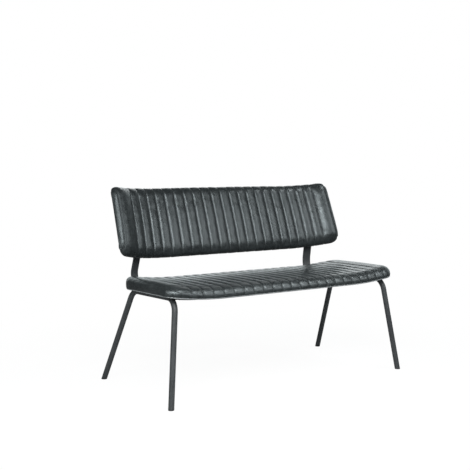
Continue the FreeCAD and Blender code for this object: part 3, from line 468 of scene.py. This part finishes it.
# closed section at every run: tucked hem, recess for the boards, sides, rolls and a crowned top
def padGrid(pad):
    run, gap, lift = stations(pad)
    half, lip, n = pad["half"], sewing["lip"], ringCounts
    dropped = quarterRound(run, half, pad["endRoll"][0]) * pad["endRoll"][1] / pad["endRoll"][0]
    soften = 1 - sewing["endSoften"] * dropped / pad["endRoll"][1]
    lowWide, lowDeep = pad["lowRoll"][0] * soften, pad["lowRoll"][1] * soften
    highWide, highDeep = pad["highRoll"][0] * soften, pad["highRoll"][1] * soften
    tuck, crown = pad["tuck"] * soften, pad["crown"] * soften
    low = pad["low"] + quarterRound(run, half, pad["lowCorner"])
    high = pad["high"] - quarterRound(run, half, pad["highCorner"]) - pad["endDip"] * (run / half) ** 4
    bottom = pad["bottom"] + sewing["endTuck"] * quarterRound(run, half, pad["tuck"])
    edge = pad["top"] - dropped - crown
    inLow = low + lip
    inHigh = np.minimum(high - lip, pad["panelHigh"] - quarterRound(run, half - lip, pad["panelCorner"]))
    reach = np.degrees(np.arccos(np.clip((tuck - lip) / tuck, 0, 1)))
    under = tuck * (1 - np.cos(np.radians(reach)))
    hem = bottom + tuck - tuck * np.sin(np.radians(reach))
    least = sewing["least"]
    ceiling = np.where(np.abs(run) < half - lip, pad["ceiling"], hem + least)
    inLow, inHigh = np.maximum(inLow, low + under + least), np.minimum(inHigh, high - under - least)
    parts = [
        arc(low + tuck, bottom + tuck, tuck, tuck, 180, 180 + reach, n["tuck"]),
        straight(low + under, hem, inLow, hem, n["lip"]),
        straight(inLow, hem, inLow, ceiling, n["wall"]),
        straight(inLow, ceiling, inHigh, ceiling, n["ceiling"]),
        straight(inHigh, ceiling, inHigh, hem, n["wall"]),
        straight(inHigh, hem, high - under, hem, n["lip"]),
        arc(high - tuck, bottom + tuck, tuck, tuck, 360 - reach, 360, n["tuck"]),
        straight(high, bottom + tuck, high, edge - highDeep, n["side"]),
        arc(high - highWide, edge - highDeep, highWide, highDeep, 0, 90, n["roll"]),
        straight(high - highWide, edge, low + lowWide, edge, n["top"]),
        arc(low + lowWide, edge - lowDeep, lowWide, lowDeep, 90, 180, n["roll"]),
        straight(low, edge - lowDeep, low, bottom + tuck, n["side"]),
    ]
    across = np.concatenate([np.broadcast_to(a, (len(run), a.shape[1])) for a, o in parts], 1)
    out = np.concatenate([np.broadcast_to(o, (len(run), a.shape[1])) for a, o in parts], 1)
    counts = [a.shape[1] for a, o in parts]
    t = np.arange(n["top"]) / n["top"]
    up = np.arange(n["roll"]) / n["roll"]
    hidden, sides = np.zeros(sum(counts[:7])), np.zeros(n["side"])
    # how far each point of the section has come from its nearer side, and how much of the seam's depth it takes
    rollHigh, rollLow = sewing["rollLength"] * sum(pad["highRoll"]), sewing["rollLength"] * sum(pad["lowRoll"])
    wide = pad["high"] - pad["low"]
    come = np.concatenate([hidden, sides, up * rollHigh, np.minimum(rollHigh + t * wide, rollLow + (1 - t) * wide),
                           (1 - up) * rollLow, sides])
    fade = np.clip((come - pad["edgeFade"][0]) / (pad["edgeFade"][1] - pad["edgeFade"][0]), 0, 1)
    take = sewing["edgeShare"] + (1 - sewing["edgeShare"]) * fade ** 2 * (3 - 2 * fade)
    take[:len(hidden)] = 0
    facing = np.radians(np.concatenate([hidden, sides, up * 90, np.full(n["top"], 90.0), 90 + up * 90, sides + 180]))
    drawn = (pad["seamDepth"] - pad["startLift"] * lift) * take
    first = sum(counts[:9])
    shown = np.arange(across.shape[1]) >= len(hidden)
    rise = pad["rearRise"] * np.clip((across - pad["low"]) / wide, 0, 1) ** 2 * shown
    across = across - drawn * np.cos(facing)
    out = out - drawn * np.sin(facing) + rise
    # the crown is a parabola over the top, 4 t (1 - t)
    out[:, first:first + n["top"]] += crown * 4 * t * (1 - t)
    held = np.zeros(across.shape[1])
    start = n["tuck"]
    held[start - 1:start + 2 * n["lip"] + 2 * n["wall"] + n["ceiling"] + 2] = 1
    return run, gap, across, out, held


# quads between neighbouring sections, wound so that they face outwards
def ringFaces(rows, columns):
    a = (np.arange(rows - 1)[:, None] * columns + np.arange(columns)).ravel()
    nextColumn = (np.arange(rows - 1)[:, None] * columns + (np.arange(columns) + 1) % columns).ravel()
    return np.stack([a, nextColumn, nextColumn + columns, a + columns], 1)


# closed cushion from its sections: an inset ring and a face shut each end
def cushionMesh(pad, spot):
    run, gap, across, out, held = padGrid(pad)
    mid = (out[[0, -1]].max(1) + out[[0, -1]].min(1))[:, None] / 2
    centre = (across[[0, -1]].max(1) + across[[0, -1]].min(1))[:, None] / 2
    capAcross = centre + (across[[0, -1]] - centre) * sewing["capAcross"]
    capOut = mid + (out[[0, -1]] - mid) * sewing["capOut"]
    capRun = run[[0, -1]] + np.array([[-sewing["capRun"]], [sewing["capRun"]]])
    runs = np.concatenate([capRun[:1], run, capRun[1:]])
    acrossAll = np.concatenate([capAcross[:1], across, capAcross[1:]])
    outAll = np.concatenate([capOut[:1], out, capOut[1:]])
    gaps = np.concatenate([gap[:1], gap, gap[-1:]])
    points = spot(pad, runs, acrossAll, outAll)
    rows, columns = acrossAll.shape
    faces = ringFaces(rows, columns).tolist()
    faces.append(list(range(columns))[::-1])
    faces.append(list(range((rows - 1) * columns, rows * columns)))
    mesh = bpy.data.meshes.new(pad["name"])
    mesh.from_pydata(points.reshape(-1, 3).tolist(), [], faces)
    steps = np.linalg.norm(np.diff(points, axis=1), axis=2)
    girth = np.concatenate([np.zeros((rows, 1)), np.cumsum(steps, 1)], 1)
    allGaps = np.broadcast_to(gaps, acrossAll.shape).ravel()
    seamGap = mesh.attributes.new("seamGap", "FLOAT", "POINT")
    seamGap.data.foreach_set("value", allGaps.astype(np.float32))
    seamAlong = mesh.attributes.new("seamAlong", "FLOAT", "POINT")
    seamAlong.data.foreach_set("value", girth.astype(np.float32).ravel())
    mesh.update()
    obj = bpy.data.objects.new(pad["name"], mesh)
    scene.collection.objects.link(obj)
    sewn = (gaps < 1e-6) | (held[None, :] > 0)
    sewn[:sewing["endRows"]] = True
    sewn[-sewing["endRows"]:] = True
    return obj, allGaps, sewn.ravel(), runs, acrossAll


def readPoints(mesh):
    points = np.empty(len(mesh.vertices) * 3, np.float32)
    mesh.vertices.foreach_get("co", points)
    return points.reshape(-1, 3).astype(float)


def writePoints(mesh, points):
    mesh.vertices.foreach_set("co", points.astype(np.float32).ravel())
    mesh.update()


def pointNormals(mesh):
    normals = np.empty(len(mesh.vertices) * 3, np.float32)
    mesh.vertices.foreach_get("normal", normals)
    return normals.reshape(-1, 3).astype(float)


# cloth under pressure, held along its seams and under its hem; each point's move is capped
def inflate(obj, held, cap):
    start = readPoints(obj.data)
    group = obj.vertex_groups.new(name="sewn")
    group.add(np.flatnonzero(held).tolist(), 1.0, "REPLACE")
    cloth = obj.modifiers.new("inflate", "CLOTH")
    cloth.settings.quality = sewing["quality"]
    cloth.settings.mass = sewing["mass"]
    cloth.settings.tension_stiffness = sewing["stiffness"]
    cloth.settings.compression_stiffness = sewing["stiffness"]
    cloth.settings.shear_stiffness = sewing["stiffness"] / 2
    cloth.settings.bending_stiffness = sewing["bending"]
    cloth.settings.use_pressure = True
    cloth.settings.uniform_pressure_force = sewing["pressure"]
    cloth.settings.effector_weights.gravity = 0
    cloth.settings.vertex_group_mass = "sewn"
    cloth.collision_settings.use_collision = False
    cloth.point_cache.frame_start = 1
    cloth.point_cache.frame_end = sewing["frames"]
    for number in range(1, sewing["frames"] + 1):
        scene.frame_set(number)
    shown = obj.evaluated_get(bpy.context.evaluated_depsgraph_get())
    moved = readPoints(shown.data) - start
    obj.modifiers.remove(cloth)
    obj.vertex_groups.remove(group)
    scene.frame_set(1)
    far = np.linalg.norm(moved, axis=1, keepdims=True)
    print("bench:", obj.name, "swelled by up to %.1f mm, %.1f mm at the middle of its points"
          % (1000 * far.max(), 1000 * np.median(far)))
    capped = moved * cap * np.tanh(far / cap) / np.maximum(far, 1e-9)
    writePoints(obj.data, start + capped)


# sewn grooves and the small dents of stretched leather, pushed along the normals
def tighten(obj, pad, gaps, runs, across):
    mesh = obj.data
    run = np.broadcast_to(runs, across.shape).ravel()
    groove = sewing["groove"] * np.exp(-(gaps / sewing["grooveWidth"]) ** 2)
    if pad["endSeam"]:
        fromSeam = np.abs(run) - (pad["half"] - (1 - pad["endSeam"]) * pad["border"])
        groove = np.maximum(groove, sewing["endGroove"] * np.exp(-(fromSeam / sewing["endGrooveWidth"]) ** 2))
    large = waves(run, across.ravel(), sewing["dentLength"], pad["seed"])
    fine = waves(run, across.ravel() * sewing["fineSqueeze"], sewing["fineLength"], pad["seed"] + 1)
    dents = sewing["dents"] * (large + sewing["fineShare"] * fine)
    fade = np.clip(gaps / sewing["dentFade"], 0, 1)
    writePoints(mesh, readPoints(mesh) + pointNormals(mesh) * (dents * fade - groove)[:, None])


def dressCushion(pad, spot):
    obj, gaps, held, runs, across = cushionMesh(pad, spot)
    inflate(obj, held, pad["cap"])
    tighten(obj, pad, gaps, runs, across)
    obj.data.polygons.foreach_set("use_smooth", np.ones(len(obj.data.polygons), bool))
    obj.data.materials.append(sewnLeather)
    smooth = obj.modifiers.new("subdivide", "SUBSURF")
    smooth.levels = 1
    smooth.render_levels = 1
    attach(obj, "root")
    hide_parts(*pad["replaces"])


seatHem = {
    "name": "seatHem", "inset": 0.0035, "below": -0.0008, "radius": 0.0026,
    "pitch": 0.006, "cornerSteps": 12, "sides": 12,
}


# rounded outline of a cushion: corner arcs joined by straight runs, as points with the angles they face
def padOutline(pad, hem):
    inset, steps = hem["inset"], hem["cornerSteps"]
    half, low, high = pad["half"] - inset, pad["low"] + inset, pad["high"] - inset
    lowR, highR = pad["lowCorner"] - inset, pad["highCorner"] - inset
    corners = ((half - lowR, low + lowR, lowR, -90), (half - highR, high - highR, highR, 0),
               (highR - half, high - highR, highR, 90), (lowR - half, low + lowR, lowR, 180))
    points, facing = [], []
    for k, (ca, co, radius, start) in enumerate(corners):
        t = np.radians(start + 90 * np.arange(steps + 1) / steps)
        points.append(np.stack([ca + radius * np.cos(t), co + radius * np.sin(t)], 1))
        facing.append(t)
        after = corners[(k + 1) % 4]
        turn = math.radians(after[3])
        target = np.array([after[0] + after[2] * math.cos(turn), after[1] + after[2] * math.sin(turn)])
        count = max(2, int(np.linalg.norm(target - points[-1][-1]) / hem["pitch"]))
        share = (np.arange(1, count) / count)[:, None]
        points.append(points[-1][-1:] + (target - points[-1][-1:]) * share)
        facing.append(np.full(count - 1, turn))
    return np.concatenate(points), np.concatenate(facing)


# closed tube along an outline: outline + r (cos phi * outward normal + sin phi * out)
def dressHem(hem, pad, spot):
    line, facing = padOutline(pad, hem)
    phi = 2 * math.pi * np.arange(hem["sides"]) / hem["sides"]
    reach = hem["radius"] * np.cos(phi)
    run = line[:, :1] + np.cos(facing)[:, None] * reach
    across = line[:, 1:] + np.sin(facing)[:, None] * reach
    out = pad["bottom"] - hem["below"] + hem["radius"] * np.sin(phi) + 0 * run
    points = spot(pad, run, across, out)
    rows, columns = run.shape
    a = (np.arange(rows)[:, None] * columns + np.arange(columns)).ravel()
    b = (np.arange(rows)[:, None] * columns + (np.arange(columns) + 1) % columns).ravel()
    following = (a + columns) % (rows * columns)
    faces = np.stack([a, following, (b + columns) % (rows * columns), b], 1)
    mesh = bpy.data.meshes.new(hem["name"])
    mesh.from_pydata(points.reshape(-1, 3).tolist(), [], faces.tolist())
    mesh.polygons.foreach_set("use_smooth", np.ones(len(mesh.polygons), bool))
    # the bead's pale colour is a painted reflection of the floor
    mesh.materials.append(hemReflectionMaterial())
    obj = bpy.data.objects.new(hem["name"], mesh)
    scene.collection.objects.link(obj)
    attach(obj, "root")


dressCushion(seatPad, seatSpot)
dressHem(seatHem, seatPad, seatSpot)
dressCushion(backPad, backSpot)
print("bench: cushions dressed")


# soft studio: a white surround, mirrored low down behind the bench, and boxes of light round it
# each lamp is name, place, target, size, watts and spread in degrees
studio = {
    "ambient": 0.55, "surroundDim": 0.12, "surroundGlow": 1.25, "surroundTint": (0.9, 0.985, 1.0),
    "surroundFade": (0.34, 0.64), "behind": (0.7, 0.714, 0.0), "behindFade": (0.6, 0.9),
    "floorSeen": 0.95, "floorShade": 0.15, "floorBounce": 0.6, "floorKeep": 0.07, "floorFade": (0.7, 1.9),
    "floorGloss": 0.04, "floorHalf": 60.0,
    "lamps": (
        ("keyBox", (-1.66, -2.14, 2.2), (0.0, 0.15, 0.7), (1.9, 0.9), 74.0, 180),
        ("leftBox", (-2.75, -1.0, 1.4), (-0.5, 0.1, 0.7), (1.2, 0.9), 22.0, 180),
        ("fillBox", (0.6, -2.75, 2.3), (0.0, 0.15, 0.7), (1.6, 1.0), 11.0, 180),
        ("sideBox", (1.75, -2.1, 2.0), (0.0, 0.15, 0.7), (1.6, 1.2), 18.0, 180),
        ("bandBox", (0.45, -0.87, 1.67), (0.0, -0.29, 0.47), (1.6, 0.75), 2.1, 34),
        ("rearBox", (1.9, 2.7, 2.2), (0.0, 0.3, 0.5), (2.0, 1.2), 13.0, 180),
    ),
}


def rayKinds(root):
    path = root.tree.nodes.new("ShaderNodeLightPath")
    return [Wire(root.tree, path.outputs["Is %s Ray" % kind]) for kind in ("Camera", "Glossy", "Transmission")]


def grey(level):
    return (level,) * 3


def buildSurround():
    world = bpy.data.worlds.new("studio")
    world.use_nodes = True
    world.node_tree.nodes.clear()
    root = Wire(world.node_tree)
    camera, glossy, through = rayKinds(root)
    towards = root.node("ShaderNodeTexCoord")
    height = root.node("ShaderNodeSeparateXYZ", {}, {0: towards}, out=2)
    behind = root.node("ShaderNodeVectorMath", {"operation": "DOT_PRODUCT"},
                       {0: towards, 1: studio["behind"]}, out=1)
    white = (1 - height.step(*studio["surroundFade"])) * behind.step(*studio["behindFade"])
    mirrored = studio["surroundDim"] + (studio["surroundGlow"] - studio["surroundDim"]) * white
    seen = camera.math("MAXIMUM", through)
    strength = studio["ambient"] + glossy * (mirrored - studio["ambient"])
    strength = strength * (1 - seen) + seen
    tint = seen.blend(studio["surroundTint"], grey(1))
    light = root.node("ShaderNodeBackground", {}, {"Color": tint, "Strength": strength})
    root.node("ShaderNodeOutputWorld", {}, {"Surface": light})
    scene.world = world


# pale floor that keeps a soft shadow under the bench and fades into the white surround
def buildFloor():
    material, root = newMaterial("paleFloor")
    camera, glossy, through = rayKinds(root)
    seen = camera.math("MAXIMUM", through)
    dull = glossy.blend(grey(studio["floorBounce"]), grey(studio["floorShade"]))
    shade = root.node("ShaderNodeBsdfDiffuse", {}, {"Color": seen.blend(dull, grey(studio["floorSeen"]))})
    glow = root.node("ShaderNodeEmission", {}, {"Color": (1, 1, 1, 1), "Strength": 1.0})
    away = root.node("ShaderNodeVectorMath", {"operation": "LENGTH"}, {0: objectPlace(root)}, out=1)
    amount = seen * (1 - studio["floorKeep"] * (1 - away.step(*studio["floorFade"])))
    amount = amount + glossy * studio["floorGloss"]
    mixed = root.node("ShaderNodeMixShader", {}, {0: amount, 1: shade, 2: glow})
    root.node("ShaderNodeOutputMaterial", {}, {"Surface": mixed})
    half = studio["floorHalf"]
    mesh = bpy.data.meshes.new("floor")
    mesh.from_pydata([(-half, -half, 0), (half, -half, 0), (half, half, 0), (-half, half, 0)], [], [(0, 1, 2, 3)])
    mesh.materials.append(material)
    floor = bpy.data.objects.new("floor", mesh)
    scene.collection.objects.link(floor)


def buildLamps():
    for name, place, target, size, power, spread in studio["lamps"]:
        data = bpy.data.lights.new(name, "AREA")
        data.shape = "RECTANGLE"
        data.size, data.size_y = size
        data.energy = power
        data.spread = math.radians(spread)
        lamp = bpy.data.objects.new(name, data)
        lamp.location = place
        lamp.rotation_euler = (Vector(target) - Vector(place)).to_track_quat("-Z", "Y").to_euler()
        lamp.visible_camera = False
        scene.collection.objects.link(lamp)


# the photo's camera: angles in degrees, focal length in pixels of a square frame
viewpoint = {
    "place": (-2.312, -3.2771, 0.999), "down": 4.84, "turn": 33.9,
    "focal": 858.4, "frame": 470, "sensor": 36.0,
}


def buildCamera():
    v = viewpoint
    data = bpy.data.cameras.new("camera")
    data.sensor_width = v["sensor"]
    data.lens = v["focal"] / v["frame"] * v["sensor"]
    camera = bpy.data.objects.new("camera", data)
    camera.location = v["place"]
    camera.rotation_euler = (math.radians(90 - v["down"]), 0, math.radians(-v["turn"]))
    scene.collection.objects.link(camera)
    scene.camera = camera


buildSurround()
buildFloor()
buildLamps()
buildCamera()
bpy.context.view_layer.update()
print("bench: studio and camera set")
